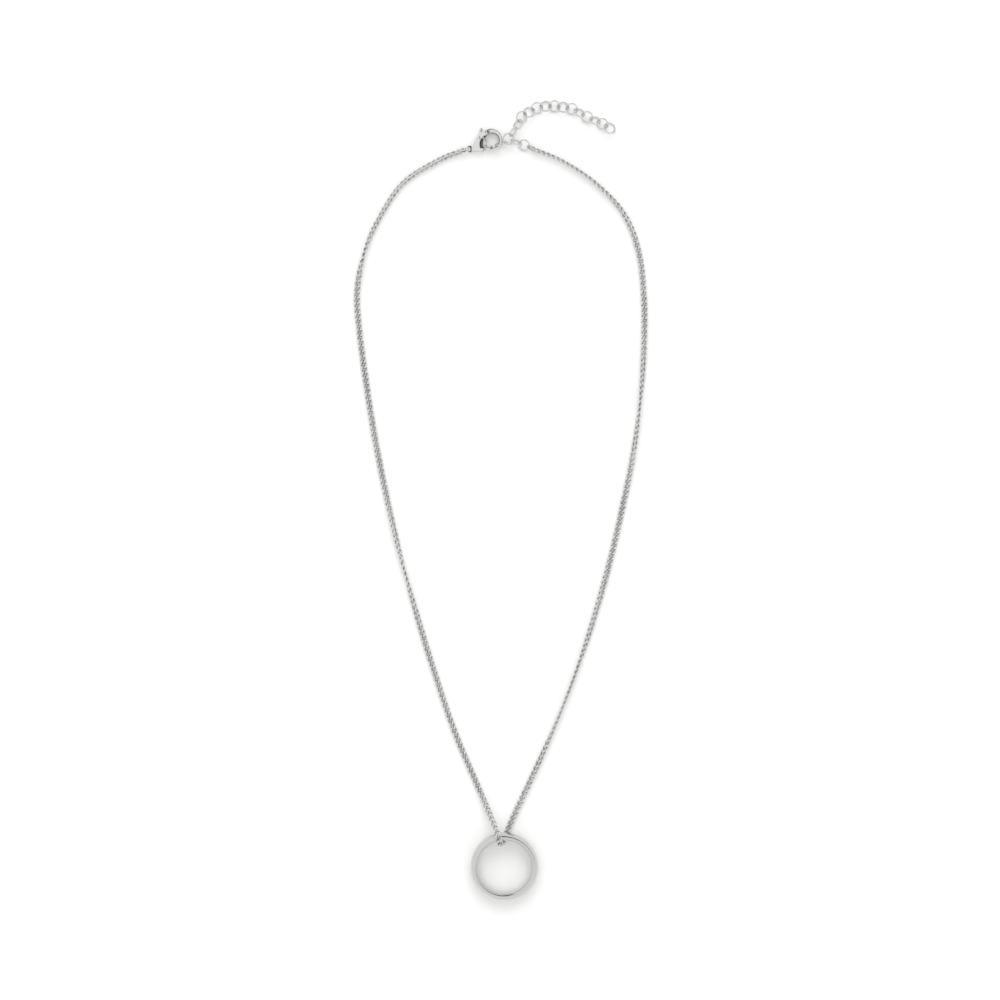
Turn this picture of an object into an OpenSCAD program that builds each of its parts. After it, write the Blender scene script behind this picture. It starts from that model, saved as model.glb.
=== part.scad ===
// Plain band ring worn as a pendant, on a curb chain with a claw clasp and an extender tail.
// It is laid out on a flat surface. Millimetres: +X to the right, +Y towards the clasp, +Z up.
// The origin is on the surface, in the middle of the whole piece.

/* [Ring] */
// Inner diameter of the ring, a usual finger size
ring_inner_d = 17.4; // [17:0.1:17.8]
// Thickness of the ring's wall
ring_wall = 2.5; // [2.2:0.1:2.6]
// Width of the band, along the finger
ring_width = 5; // [4.8:0.1:5.1]
// How square the wall's section is: 2 gives an ellipse
ring_squareness = 3; // [2:0.1:3.2]
// Lean of the ring, whose near edge is on the surface and whose far edge is on the chain
ring_lean = 4.8; // [4.5:0.1:5]

/* [Chain] */
// Width of the curb chain where it lies flat
chain_width = 2; // [1.8:0.1:2.1]
// Thickness of the curb chain
chain_thickness = 1.2; // [1.1:0.05:1.25]

/* [Round links] */
// Outer diameter of the links of the tail and of the connecting links
link_d = 4.2; // [4.1:0.05:4.2]
// Wire of the round links
link_wire = 0.5; // [0.4:0.05:0.5]
// Outer diameter of the larger link that the clasp holds
hook_link_d = 4.4; // [4.3:0.05:4.5]

/* [Clasp] */
// Thickness of the claw
claw_thickness = 2; // [1.9:0.05:2.1]
// Slot between the claw's two cheeks, in which the lever turns
slot_width = 1; // [0.95:0.05:1.05]
// Thickness of the lever's arm, in the slot
lever_thickness = 0.8; // [0.7:0.05:0.8]
// Thickness of the lever's gate, across the claw's mouth
gate_thickness = 1.6; // [1.2:0.1:1.6]
// Diameter of the rivet that the lever turns on
pin_d = 0.8; // [0.7:0.05:0.8]
// Clearance all round the rivet, in the lever
pin_play = 0.05; // [0.03:0.01:0.08]
// Rise of the claw towards its hook, which rests on the wire of the link that it holds
claw_rise = 3.5; // [3.3:0.1:3.7]
// Width of the hook's rounded arm
arm_width = 1.2; // [1.1:0.05:1.25]
// Height of the hook's rounded arm
arm_height = 1.6; // [1.4:0.05:1.7]

/* [Hidden] */
TAIL_COUNT = 14;

silver = [0.80, 0.80, 0.81];
dark_silver = [0.62, 0.62, 0.64];
ROUND = 64; // sides that stand for a circle

// Middle of the whole piece in the layout's own coordinates, which the tables below use
layout_middle = [0.3, 0.1];

// Ring: where its middle is, and how its section is drawn
ring_middle = [1.5, -121.6];
section_points = 40;
ring_mid_r = (ring_inner_d + ring_wall) / 2;

// Chain: sides of the tube, and rings for each span of a route
tube_sides = 8;
rings_per_span = 2;

// Routes of the chain. Each row is a point on it: x, y, lift above where it would lie,
// roll of its flat side about its length, and lean of its upper side as it goes round the ring.
left_route = [
    // x, y, lift, roll, lean
    [-11.6, 116.6, 0.8, 60, 0],
    [-14, 115.7, 0.2, 55, 0],
    [-20, 113.3, 0, 50, 0],
    [-32, 105.8, 0, 55, 0],
    [-40, 94.2, 0, 58, 0],
    [-45, 83, 0, 85, 0],
    [-47.6, 70, 0, 175, 0],
    [-46.9, 57, 0, 180, 0],
    [-44.8, 40.5, 0, 180, 0],
    [-42.2, 24, 0, 200, 0],
    [-39, 7, 0, 190, 0],
    [-35, -11, 0, 222, 0],
    [-31.7, -24, 0, 270, 0],
    [-26.5, -42.5, 0, 340, 0],
    [-21, -60, 0, 345, 0],
    [-15, -77.5, 0, 350, 0],
    [-8, -94, 0, 355, 0],
    [-4.5, -102, 1.3, 360, 0],
    [-1.8, -108, 4.9, 360, 0],
    [-0.9, -110.4, 6.5, 360, 0],
    [-0.4, -112, 6.9, 360, 10],
    [0, -113.5, 6.3, 360, 50],
    [0.2, -114, 5.2, 360, 80],
    [0.4, -114.1, 3.5, 360, 90],
];
right_route = [
    // x, y, lift, roll, lean
    [0.6, -114.1, 3.2, 0, 90],
    [0.9, -113.9, 1.6, 0, 105],
    [1.4, -113.1, 0.35, 0, 150],
    [1.8, -111.8, 0, 0, 180],
    [3.4, -108, 0, 5, 180],
    [7, -100, 0, 25, 180],
    [12.6, -88, 0, 50, 180],
    [19.6, -72, 0, 88, 180],
    [25.4, -57, 0, 97, 180],
    [30.5, -42, 0, 138, 180],
    [34.9, -27, 0, 160, 180],
    [38.3, -13.5, 0, 180, 180],
    [41.3, 0, 0, 190, 180],
    [44, 13.5, 0, 215, 180],
    [46, 27, 0, 255, 180],
    [47.4, 40.5, 0, 305, 180],
    [48.1, 55, 0, 350, 180],
    [47.9, 69, 0, 360, 180],
    [46.1, 83, 0, 375, 180],
    [41.3, 95.2, 0, 415, 180],
    [32, 105.5, 0, 450, 180],
    [21, 112.8, 0, 450, 180],
    [10.3, 117.2, 0.25, 430, 180],
];

// Places of the round links. Each row: x, y, heading, roll about the heading, and lift.
hook_link_place = [0.4, 118.55, 14, -72, 0];
hub_link_place = [2.85, 120.1, 50, 20, 1.1];
end_link_places = [
    // x, y, heading, roll, lift
    [5.4, 119, -20, -62, 0],
    [8, 118.1, -22, 30, 0],
];
tail_places = [
    // x, y, heading, roll, lift
    [4.4, 122.6, 55, 74, 0],
    [6, 124.9, 58, -50, 0],
    [7.2, 127.5, 58, 32, 0.1],
    [9.7, 129.1, 32, -26, 0],
    [12.3, 130.5, 18, 26, 0],
    [15.2, 131.1, 0, -24, 0],
    [18.1, 131.1, -3, 22, 0],
    [21, 130.8, -6, -22, 0],
    [23.9, 130.2, -20, 28, 0],
    [26.4, 128.9, -30, -44, 0],
    [29, 127.5, -28, 28, 0.2],
    [31.6, 126.3, -20, -44, 0],
    [34.1, 125.2, -28, 32, 0.1],
    [36.5, 123.8, -38, -24, 0],
];

// Claw, in its own coordinates: the rivet is at the origin and the hook towards +X
claw_place = [-6.75, 120.4, 0.22];
eye_centre = [4.1, -0.85];
eye_r = 2.3;
mouth_from = 130; // the mouth's two ends, as angles round the eye
mouth_to = 271;
root_to = 50; // where the flat root of the hook gives way to its rounded arm
root_centre = [4.2, -0.65];
root_r = [3.4, 3.7];
arm_squareness = 3;
cheek = [[-2.6, -3.1], [-0.1, 1.95], [1.9, 2.3], [3.2, 2], [3.2, 0.6], [1.4, -1], [1.4, -4.3], [-2.6, -4.2]];
web = [[-2.6, -3.1], [-1.6, -1.08], [-0.9, -1.35], [-0.1, -2.4], [0.5, -4.25], [-2.6, -4.2]];
pocket_centre = [3.35, -2.05];
pocket_r = 3.25;
pocket_floor_r = 2.35;
tail_ring_d = 2.6;
tail_ring_wire = 0.6;
tail_ring_place = [-3.45, -3.6, 1.1];
tail_ring_tilt = 45;
solder_r = 0.45;
rivet_head_d = 1.15;
rivet_head_h = 0.15;
rivet_gap = 0.02; // between the rivet and the cheeks that hold it

// Lever, in the claw's coordinates: rows of x, y and half the width at that point
gate_path = [
    [0.2, 0.1, 0.4],
    [1.2, 0.3, 0.42],
    [1.8, -0.5, 0.42],
    [1.85, -2.1, 0.42],
    [2.2, -3.1, 0.42],
    [3, -3.4, 0.38],
    [3.7, -2.95, 0.3],
    [4.15, -2.7, 0.24],
];
gate_block_path = [
    [2.15, -3.1, 0.38],
    [3, -3.4, 0.36],
    [3.7, -2.95, 0.28],
    [4.15, -2.7, 0.22],
];
thumb_path = [
    [0, 0, 0.5],
    [0.25, 1.6, 0.42],
    [0.5, 2.9, 0.42],
    [0.55, 3.25, 0.3],
];
boss_r = 0.7;

// Vectors
function unit(v) = v / norm(v);
function power(x, p) = sign(x) * pow(abs(x), p);

// A smooth curve through a table's rows, all columns at once, with steps points for each span
function before(rows) = 2 * rows[0] - rows[1];
function after(rows) = 2 * rows[len(rows) - 1] - rows[len(rows) - 2];
function row_at(rows, i) = i < 0 ? before(rows) : i >= len(rows) ? after(rows) : rows[i];
function curve_point(a, b, c, d, t) =
    0.5 * (2 * b + (c - a) * t + (2 * a - 5 * b + 4 * c - d) * t * t + (3 * b - a - 3 * c + d) * t * t * t);
function smooth(rows, steps) = concat(
    [for (i = [0 : len(rows) - 2]) for (s = [0 : steps - 1])
        curve_point(row_at(rows, i - 1), rows[i], rows[i + 1], row_at(rows, i + 2), s / steps)],
    [rows[len(rows) - 1]]
);

// Ring: half the section's height in a direction that leans from the ring's axis
function section_reach(lean) =
    let (p = ring_squareness / (ring_squareness - 1))
    pow(pow(ring_wall / 2 * sin(lean), p) + pow(ring_width / 2 * cos(lean), p), 1 / p);

// Chain: height of its middle where it lies with this roll, and its middle at a route's row
function rest_height(roll) = norm([chain_width / 2 * sin(roll), chain_thickness / 2 * cos(roll)]);
function chain_middle(row) = [row[0], row[1], max(row[2], 0) + rest_height(row[3])];
function chain_middles(rows) = [for (row = smooth(rows, rings_per_span)) chain_middle(row)];
function directions(p) = [for (i = [0 : len(p) - 1]) unit(p[min(i + 1, len(p) - 1)] - p[max(i - 1, 0)])];
function ring_of(middle, along, roll, lean) =
    let (
        side = unit(cross(along, [0, -sin(lean), cos(lean)])),
        upper = cross(side, along)
    )
    [for (k = [0 : tube_sides - 1])
        let (
            a = 360 / tube_sides * k,
            u = chain_width / 2 * cos(a),
            v = chain_thickness / 2 * sin(a)
        )
        middle + (u * cos(roll) - v * sin(roll)) * side + (u * sin(roll) + v * cos(roll)) * upper];

// Lever: outline of a strip that follows a path, as wide as its rows say
function strip_side(rows, turn) = [for (i = [0 : len(rows) - 1])
    let (
        ahead = rows[min(i + 1, len(rows) - 1)] - rows[max(i - 1, 0)],
        along = unit([ahead[0], ahead[1]])
    )
    [rows[i][0], rows[i][1]] + turn * rows[i][2] * [-along[1], along[0]]];
function strip_tip(row, from) =
    let (along = unit([row[0] - from[0], row[1] - from[1]]))
    [[row[0], row[1]] + 0.8 * row[2] * along];

module laid_out() {
    translate([-layout_middle[0], -layout_middle[1], 0]) children();
}

// Round band: a rounded, nearly square section turned about the ring's axis
module ring_band() {
    mid_height = ring_mid_r * sin(ring_lean) + section_reach(ring_lean);
    section = [for (k = [0 : section_points - 1])
        let (a = 360 / section_points * k)
        [
            ring_mid_r + ring_wall / 2 * power(cos(a), 2 / ring_squareness),
            ring_width / 2 * power(sin(a), 2 / ring_squareness)
        ]];
    color(silver)
        translate([ring_middle[0], ring_middle[1], mid_height])
            rotate([ring_lean, 0, 0])
                rotate_extrude($fn = 2 * ROUND)
                    polygon(section);
}

// One side of the curb chain, as a tube of the chain's outer size
module chain_tube(route) {
    rows = smooth(route, rings_per_span);
    middles = chain_middles(route);
    along = directions(middles);
    count = len(rows);
    points = [for (i = [0 : count - 1]) each ring_of(middles[i], along[i], rows[i][3], rows[i][4])];
    sides = [for (i = [0 : count - 2]) for (k = [0 : tube_sides - 1])
        let (a = i * tube_sides, b = a + tube_sides, n = (k + 1) % tube_sides)
        each [[a + k, a + n, b + k], [a + n, b + n, b + k]]];
    first = [for (k = [tube_sides - 1 : -1 : 0]) k];
    last = [for (k = [0 : tube_sides - 1]) (count - 1) * tube_sides + k];
    color(silver)
        polyhedron(points, concat(sides, [first, last]));
}

// Round link of plain wire
module round_link(outer_d, wire) {
    rotate_extrude($fn = ROUND)
        translate([(outer_d - wire) / 2, 0])
            circle(d = wire, $fn = ROUND / 2);
}

// A round link that leans on the surface: place is x, y, heading, roll and lift
module laid_link(place, outer_d) {
    height = (outer_d - link_wire) / 2 * abs(sin(place[3])) + link_wire / 2 + place[4];
    color(silver)
        translate([place[0], place[1], height])
            rotate([0, 0, place[2]])
                rotate([place[3], 0, 0])
                    round_link(outer_d, link_wire);
}

module claw_laid() {
    translate(claw_place) rotate([0, -claw_rise, 0]) children();
}

// Flat root of the hook: an oval with the eye cut out, kept between two angles round the eye
module hook_root() {
    far = 2 * root_r[1];
    linear_extrude(claw_thickness)
        intersection() {
            difference() {
                translate(root_centre)
                    polygon([for (k = [0 : ROUND - 1]) let (a = 360 / ROUND * k)
                        [root_r[0] * cos(a), root_r[1] * sin(a)]]);
                translate(eye_centre) circle(r = eye_r, $fn = ROUND);
            }
            polygon(concat([eye_centre], [for (a = [root_to, 90, mouth_from])
                eye_centre + far * [cos(a), sin(a)]]));
        }
}

// Arm of the hook: a rounded section turned round the eye, from the nose to the root
module hook_arm() {
    middle = eye_r + arm_width / 2;
    section = [for (k = [0 : ROUND / 2 - 1])
        let (a = 720 / ROUND * k)
        [
            middle + arm_width / 2 * power(cos(a), 2 / arm_squareness),
            arm_height / 2 * power(sin(a), 2 / arm_squareness)
        ]];
    translate([eye_centre[0], eye_centre[1], claw_thickness / 2])
        rotate([0, 0, mouth_to])
            rotate_extrude(angle = 360 + root_to + 20 - mouth_to, $fn = 2 * ROUND)
                polygon(section);
}

// One cheek of the claw, scooped out where the lever's gate comes out
module cheek_plate(low, scoop_r) {
    cheek_thickness = (claw_thickness - slot_width) / 2;
    translate([0, 0, low])
        linear_extrude(cheek_thickness)
            difference() {
                polygon(cheek);
                translate(pocket_centre) circle(r = scoop_r, $fn = ROUND);
            }
}

// Claw: hook, two cheeks, the web that joins them, and the ring soldered to its tail
module clasp_body() {
    cheek_thickness = (claw_thickness - slot_width) / 2;
    color(silver)
        claw_laid()
            difference() {
                union() {
                    hook_root();
                    hook_arm();
                    cheek_plate(0, pocket_floor_r);
                    cheek_plate(claw_thickness - cheek_thickness, pocket_r);
                    translate([0, 0, cheek_thickness / 2])
                        linear_extrude(claw_thickness - cheek_thickness) polygon(web);
                    translate([tail_ring_place[0] + tail_ring_d / 4, tail_ring_place[1], 0.15])
                        cylinder(r = solder_r, h = 0.75, $fn = ROUND);
                    translate(tail_ring_place)
                        rotate([0, tail_ring_tilt, 0])
                            round_link(tail_ring_d, tail_ring_wire);
                }
                translate([0, 0, -1])
                    cylinder(d = pin_d + 2 * rivet_gap, h = claw_thickness + 2, $fn = ROUND);
            }
}

// Lever: boss on the rivet, arm and gate that close the mouth, and the thumb tab
module clasp_lever() {
    middle = claw_thickness / 2;
    color(dark_silver)
        claw_laid()
            difference() {
                union() {
                    translate([0, 0, middle - lever_thickness / 2])
                        cylinder(r = boss_r, h = lever_thickness, $fn = ROUND);
                    translate([0, 0, middle - lever_thickness / 2])
                        linear_extrude(lever_thickness) {
                            strip(gate_path);
                            strip(thumb_path);
                        }
                    translate([0, 0, middle - gate_thickness / 2])
                        linear_extrude(gate_thickness) strip(gate_block_path);
                }
                cylinder(d = pin_d + 2 * pin_play, h = 2 * claw_thickness, center = true, $fn = ROUND);
            }
}

module strip(path) {
    rows = smooth(path, 3);
    left = strip_side(rows, 1);
    right = strip_side(rows, -1);
    last = len(rows) - 1;
    polygon(concat(left, strip_tip(rows[last], rows[last - 1]), [for (i = [last : -1 : 0]) right[i]]));
}

// Rivet with two low heads, held by the cheeks
module clasp_pin() {
    color(dark_silver)
        claw_laid() {
            translate([0, 0, -rivet_gap - rivet_head_h])
                cylinder(d = rivet_head_d, h = rivet_head_h, $fn = ROUND);
            translate([0, 0, -rivet_gap - rivet_head_h])
                cylinder(d = pin_d, h = claw_thickness + 2 * (rivet_gap + rivet_head_h), $fn = ROUND);
            translate([0, 0, claw_thickness + rivet_gap])
                cylinder(d = rivet_head_d, h = rivet_head_h, $fn = ROUND);
        }
}

laid_out() ring_band();
laid_out() chain_tube(left_route);  // chain_left
laid_out() chain_tube(right_route);  // chain_right
laid_out() clasp_body();
laid_out() clasp_lever();
laid_out() clasp_pin();
laid_out() laid_link(hook_link_place, hook_link_d);  // hook_link
laid_out() laid_link(hub_link_place, link_d);  // hub_link
for (i = [0, 1])
    laid_out() laid_link(end_link_places[i], link_d);
for (i = [0 : TAIL_COUNT - 1])
    laid_out() laid_link(tail_places[i], link_d);
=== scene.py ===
# %% [markdown]
# # A ring pendant on a curb chain
#
# The real thing is a plain silver-coloured band ring that hangs on a fine curb chain. A claw clasp
# with a sprung lever closes the chain, and a short tail of round links lets it be worn longer.
#
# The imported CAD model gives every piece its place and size. This script gives it its looks: a true
# curb chain in place of the two tubes, a claw that looks cast, wire links with solder seams, and a
# satin ring. Everything is computed with numpy in millimetres and put into Blender in metres.

import bpy
import numpy as np
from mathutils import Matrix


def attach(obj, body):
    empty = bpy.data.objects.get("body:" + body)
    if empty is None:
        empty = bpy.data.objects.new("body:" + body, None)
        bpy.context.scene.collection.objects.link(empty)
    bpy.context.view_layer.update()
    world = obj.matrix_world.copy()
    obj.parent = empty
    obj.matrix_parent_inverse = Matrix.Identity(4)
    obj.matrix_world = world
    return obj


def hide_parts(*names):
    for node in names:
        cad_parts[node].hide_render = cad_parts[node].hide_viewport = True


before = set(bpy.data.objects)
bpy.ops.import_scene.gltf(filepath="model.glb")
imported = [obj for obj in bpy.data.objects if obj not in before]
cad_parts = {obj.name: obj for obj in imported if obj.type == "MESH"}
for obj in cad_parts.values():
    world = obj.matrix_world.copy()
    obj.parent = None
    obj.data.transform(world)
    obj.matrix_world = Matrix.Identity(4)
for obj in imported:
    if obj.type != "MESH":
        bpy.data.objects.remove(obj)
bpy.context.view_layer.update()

MM = 0.001
# The tables below use the layout's own coordinates, and this is where the model's origin is in them.
LAYOUT_MIDDLE = np.array([0.3, 0.1, 0.0])

# %% [markdown]
# ## Camera
#
# The photograph was taken from straight above. A long lens a metre up keeps the ring's walls almost
# upright in the picture, and 36 mm of sensor behind a 108 mm lens covers a third of a metre of table.

# %% Camera
CAMERA_HEIGHT = 1.0

lens = bpy.data.cameras.new("overhead_camera")
lens.lens = 108
lens.sensor_width = 36
lens.clip_start, lens.clip_end = 0.05, 20
camera = bpy.data.objects.new("overhead_camera", lens)
camera.location = (-LAYOUT_MIDDLE[0] * MM, -LAYOUT_MIDDLE[1] * MM, CAMERA_HEIGHT)
bpy.context.collection.objects.link(camera)
bpy.context.scene.camera = camera
bpy.context.scene.view_settings.view_transform = "Standard"
print("camera covers", round(1000 * lens.sensor_width / lens.lens), "mm of table")

# %% [markdown]
# ## Surfaces from numpy
#
# Most pieces are a grid of points, worked out from two parameters. The grid closes on itself one
# way, as a pipe does, or both ways, as a link does. One helper turns any points and faces into a
# smooth mesh. A closed grid also gets a UV map that follows the two parameters, and a piece can
# carry shares from 0 to 1 at its points, for its finish to read.

# %% Grids of points into meshes
def points_of(x, y, z):
    """Points from their three coordinates, each spread over the whole grid."""
    return np.stack(np.broadcast_arrays(x, y, z), -1)


def circle(steps):
    """Equal angles once round, in radians."""
    return np.linspace(0, 2 * np.pi, steps, endpoint=False)


def grid_faces(rows, columns, closed=True):
    """Corner numbers of the quads between neighbouring points of a rows by columns grid. Its last
    column joins its first, as round a pipe. Where it is closed, its last row joins its first too."""
    row, column = np.indices((rows if closed else rows - 1, columns)).reshape(2, -1)
    next_row, next_column = (row + 1) % rows, (column + 1) % columns
    return np.stack([
        row * columns + column,
        next_row * columns + column,
        next_row * columns + next_column,
        row * columns + next_column,
    ], axis=1)


def closed_uv(rows, columns):
    """UV of each corner of the quads of a closed grid: how far it is along the rows and the columns,
    as fractions. A seam gets 1, not 0, so that a pattern doesn't run backwards there."""
    row, column = np.indices((rows, columns)).reshape(2, -1)
    corners = [(row, column), (row + 1, column), (row + 1, column + 1), (row, column + 1)]
    return np.stack([np.stack([r / rows, c / columns], axis=1) for r, c in corners], axis=1)


def mesh_from(name, points, faces, uv=None):
    """An object in metres from points in millimetres of the model's frame, quads or triangles, and
    one UV pair for each corner of each face."""
    faces = np.asarray(faces)
    count, sides = faces.shape
    mesh = bpy.data.meshes.new(name)
    mesh.vertices.add(len(points))
    mesh.vertices.foreach_set("co", (np.asarray(points) * MM).astype(np.float32).ravel())
    mesh.loops.add(count * sides)
    mesh.loops.foreach_set("vertex_index", faces.astype(np.int32).ravel())
    mesh.polygons.add(count)
    mesh.polygons.foreach_set("loop_start", np.arange(0, count * sides, sides, dtype=np.int32))
    mesh.polygons.foreach_set("use_smooth", np.ones(count, bool))
    if uv is not None:
        layer = mesh.uv_layers.new(name="along_and_round")
        layer.data.foreach_set("uv", np.asarray(uv, np.float32).ravel())
    mesh.update(calc_edges=True)
    mesh.validate()
    piece = bpy.data.objects.new(name, mesh)
    bpy.context.collection.objects.link(piece)
    return piece


def closed_piece(name, points):
    """An object from a grid of points that closes on itself both ways."""
    rows, columns = points.shape[:2]
    return mesh_from(name, points.reshape(-1, 3), grid_faces(rows, columns), closed_uv(rows, columns))


def give_share(piece, name, values):
    """Stores one number at each point of a piece, under a name that its finish can read."""
    attribute = piece.data.attributes.new(name, "FLOAT", "POINT")
    attribute.data.foreach_set("value", np.asarray(values, np.float32).ravel())


print("a closed 3 by 4 grid has", len(grid_faces(3, 4)), "faces")

# %% [markdown]
# ## Mixing a finish
#
# A material is a tree of nodes. Writing it as Python is easier to read when a socket can be added
# and multiplied like a number, so one small class wraps a socket and turns + - * / into Math nodes.
# Every other node comes from one method: its type, its settings, and what goes into its sockets.

# %% Sockets that can be calculated with
class Socket:
    """An output of a node. Maths on it adds a Math node to the same finish."""

    def __init__(self, finish, output):
        self.finish, self.output = finish, output

    def maths(self, operation, first, second):
        """A Math node: an operation on two numbers, each a value or a socket."""
        return self.finish.node("ShaderNodeMath", {"operation": operation}, {0: first, 1: second})

    def __add__(self, other):
        return self.maths("ADD", self, other)

    def __sub__(self, other):
        return self.maths("SUBTRACT", self, other)

    def __rsub__(self, other):
        return self.maths("SUBTRACT", other, self)

    def __mul__(self, other):
        return self.maths("MULTIPLY", self, other)

    def __truediv__(self, other):
        return self.maths("DIVIDE", self, other)

    def __rtruediv__(self, other):
        return self.maths("DIVIDE", other, self)

    __radd__ = __add__
    __rmul__ = __mul__


class Finish:
    """A material, or the world, while it is being mixed."""

    def __init__(self, owner):
        self.owner = owner
        owner.use_nodes = True
        self.tree = owner.node_tree
        self.tree.nodes.clear()

    def node(self, kind, settings, sockets, output=0):
        """Adds any node. Settings are its own properties, and stops are a ramp's positions and grey
        levels. Sockets are named or numbered, and take a value or another node's output."""
        made = self.tree.nodes.new(kind)
        for key, value in settings.items():
            if key == "stops":
                ramp = made.color_ramp.elements
                while len(ramp) < len(value):
                    ramp.new(1.0)
                for element, (position, level) in zip(ramp, value):
                    element.position, element.color = position, grey(level)
            else:
                setattr(made, key, value)
        for key, value in sockets.items():
            if isinstance(value, Socket):
                self.tree.links.new(value.output, made.inputs[key])
            else:
                made.inputs[key].default_value = value
        return Socket(self, made.outputs[output])

    def share(self, name):
        """A number that a piece carries at its points."""
        return self.node("ShaderNodeAttribute", {"attribute_name": name}, {}, "Fac")

    def mix(self, factor, first, second):
        """A colour between two colours."""
        return self.node("ShaderNodeMix", {"data_type": "RGBA"}, {0: factor, 6: first, 7: second}, 2)

    def noise(self, scale, detail, where=None):
        """Soft noise from 0 to 1, with features about 1 / scale of the coordinates' unit wide. The
        coordinates are the piece's own, in metres, where no others are given."""
        where = where or self.node("ShaderNodeTexCoord", {}, {}, "Object")
        return self.node("ShaderNodeTexNoise", {}, {"Vector": where, "Scale": scale, "Detail": detail})

    def surface(self, shader, kind="ShaderNodeOutputMaterial"):
        """Ends the tree with a shader, and gives back what it finishes."""
        end = self.tree.nodes.new(kind)
        self.tree.links.new(shader.output, end.inputs["Surface"])
        return self.owner


def grey(level):
    """A colour with equal parts, for a socket that takes a colour."""
    return (level, level, level, 1.0)


print("a middle grey is", grey(0.5))

# %% [markdown]
# ## Table
#
# The necklace lies on plain white paper. The table reaches far out, so that the metal mirrors it as
# one even surface, and its rings grow towards the outside. A fan of triangles closes the middle.

# %% Table
TABLE_REACH, TABLE_RINGS, TABLE_SPOKES, TABLE_TOP = 6000, 12, 64, -0.02

ring_radius = TABLE_REACH * ((np.arange(TABLE_RINGS) + 1) / TABLE_RINGS)[:, None] ** 2
spoke = circle(TABLE_SPOKES)
table_points = points_of(ring_radius * np.cos(spoke), ring_radius * np.sin(spoke), TABLE_TOP)
table = mesh_from("table", table_points.reshape(-1, 3), grid_faces(TABLE_RINGS, TABLE_SPOKES, closed=False))
corner = np.arange(TABLE_SPOKES)
fan = np.stack([np.full(TABLE_SPOKES, TABLE_SPOKES), corner, (corner + 1) % TABLE_SPOKES], 1)
centre = mesh_from("table_centre", np.vstack([table_points[0], [[0, 0, TABLE_TOP]]]), fan)

paper = Finish(bpy.data.materials.new("white_table"))
white = paper.surface(paper.node("ShaderNodeBsdfPrincipled", {}, {
    "Base Color": (0.93, 0.93, 0.92, 1.0), "Roughness": 0.75, "Specular IOR Level": 0.2}))
for part in (table, centre):
    part.data.materials.append(white)
print("table reaches", round(float(table_points[..., 0].max())), "mm out")

# %% [markdown]
# ## Sky and lamps
#
# The light is soft and even, and the necklace's shadow falls towards the ring. A polished metal
# shows nothing but its surroundings, so these matter more than the lamps. They are a light grey sky,
# a darker belt between the lights above and the light walls below, and near the top the dark patch
# of a camera and its stand. The belt draws a dark line along each wire, and the patch draws the thin
# dark crescents on top of the ring's wall.

# %% Sky and lamps
SKY, WALLS, BELT, CAMERA_SHADE = 0.90, 0.84, 0.66, 0.0
# Where the dark patch is and how far it reaches, as slopes to the east and north from straight up,
# how it slants, and between which squares of that reach it fades out.
CAMERA_WAY, CAMERA_REACH, CAMERA_SLANT, CAMERA_EDGE = (-0.04, 0.36), (0.16, 0.66), 0.4, (0.7, 1.3)
# Rows: lamp, strength, width of its light in degrees, lean of its light towards the ring in degrees.
LAMPS = (("window", 1.1, 46, 50), ("ceiling", 0.5, 40, 0))

studio = Finish(bpy.data.worlds.new("studio"))
bpy.context.scene.world = studio.owner
direction = studio.node("ShaderNodeTexCoord", {}, {}, "Generated")
# The height of a direction is its sine above the horizon: 0 there and 1 straight up.
east, north, height = [studio.node("ShaderNodeSeparateXYZ", {}, {0: direction}, k) for k in "XYZ"]
round_sky = studio.node("ShaderNodeValToRGB", {"stops": [
    (0.0, WALLS), (0.20, WALLS), (0.28, BELT), (0.46, BELT), (0.60, SKY), (1.0, SKY)]}, {0: height})
# The patch is a slanted ellipse: (east slope / reach)^2 + (north slope / reach)^2 < 1.
up_north = north / height - CAMERA_WAY[1]
over_north = up_north / CAMERA_REACH[1]
over_east = (east / height - CAMERA_WAY[0] + CAMERA_SLANT * up_north) / CAMERA_REACH[0]
patch = studio.node("ShaderNodeMapRange", {"interpolation_type": "SMOOTHSTEP"}, {
    "Value": over_east * over_east + over_north * over_north,
    "From Min": CAMERA_EDGE[1], "From Max": CAMERA_EDGE[0], "To Min": 0.0, "To Max": 1.0})
sky = studio.mix(patch, round_sky, grey(CAMERA_SHADE))
studio.surface(studio.node("ShaderNodeBackground", {}, {"Color": sky, "Strength": 1.0}),
               "ShaderNodeOutputWorld")

# The metal already mirrors the sky, so the lamps only have to light the table.
for name, strength, width, lean in LAMPS:
    lamp_data = bpy.data.lights.new(name, "SUN")
    lamp_data.energy = strength
    lamp_data.angle = np.radians(width)
    lamp = bpy.data.objects.new(name, lamp_data)
    lamp.rotation_euler = (np.radians(-lean), 0, 0)
    lamp.visible_glossy = False
    bpy.context.collection.objects.link(lamp)
print("sky", SKY, "belt", BELT, "and soft lamps", [lamp[0] for lamp in LAMPS])

# %% [markdown]
# ## The curb chain's route
#
# The chain lies in one long loop. It leaves the clasp, climbs over the ring's rim, drops into the
# hole, comes out under the raised edge of the ring and runs back to the tail. It also rolls about
# its own length as it goes, so it shows its flat side in some places and its edge in others. Each
# row of the tables is a point of that route, and a smooth curve runs through all the columns at once.

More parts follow.
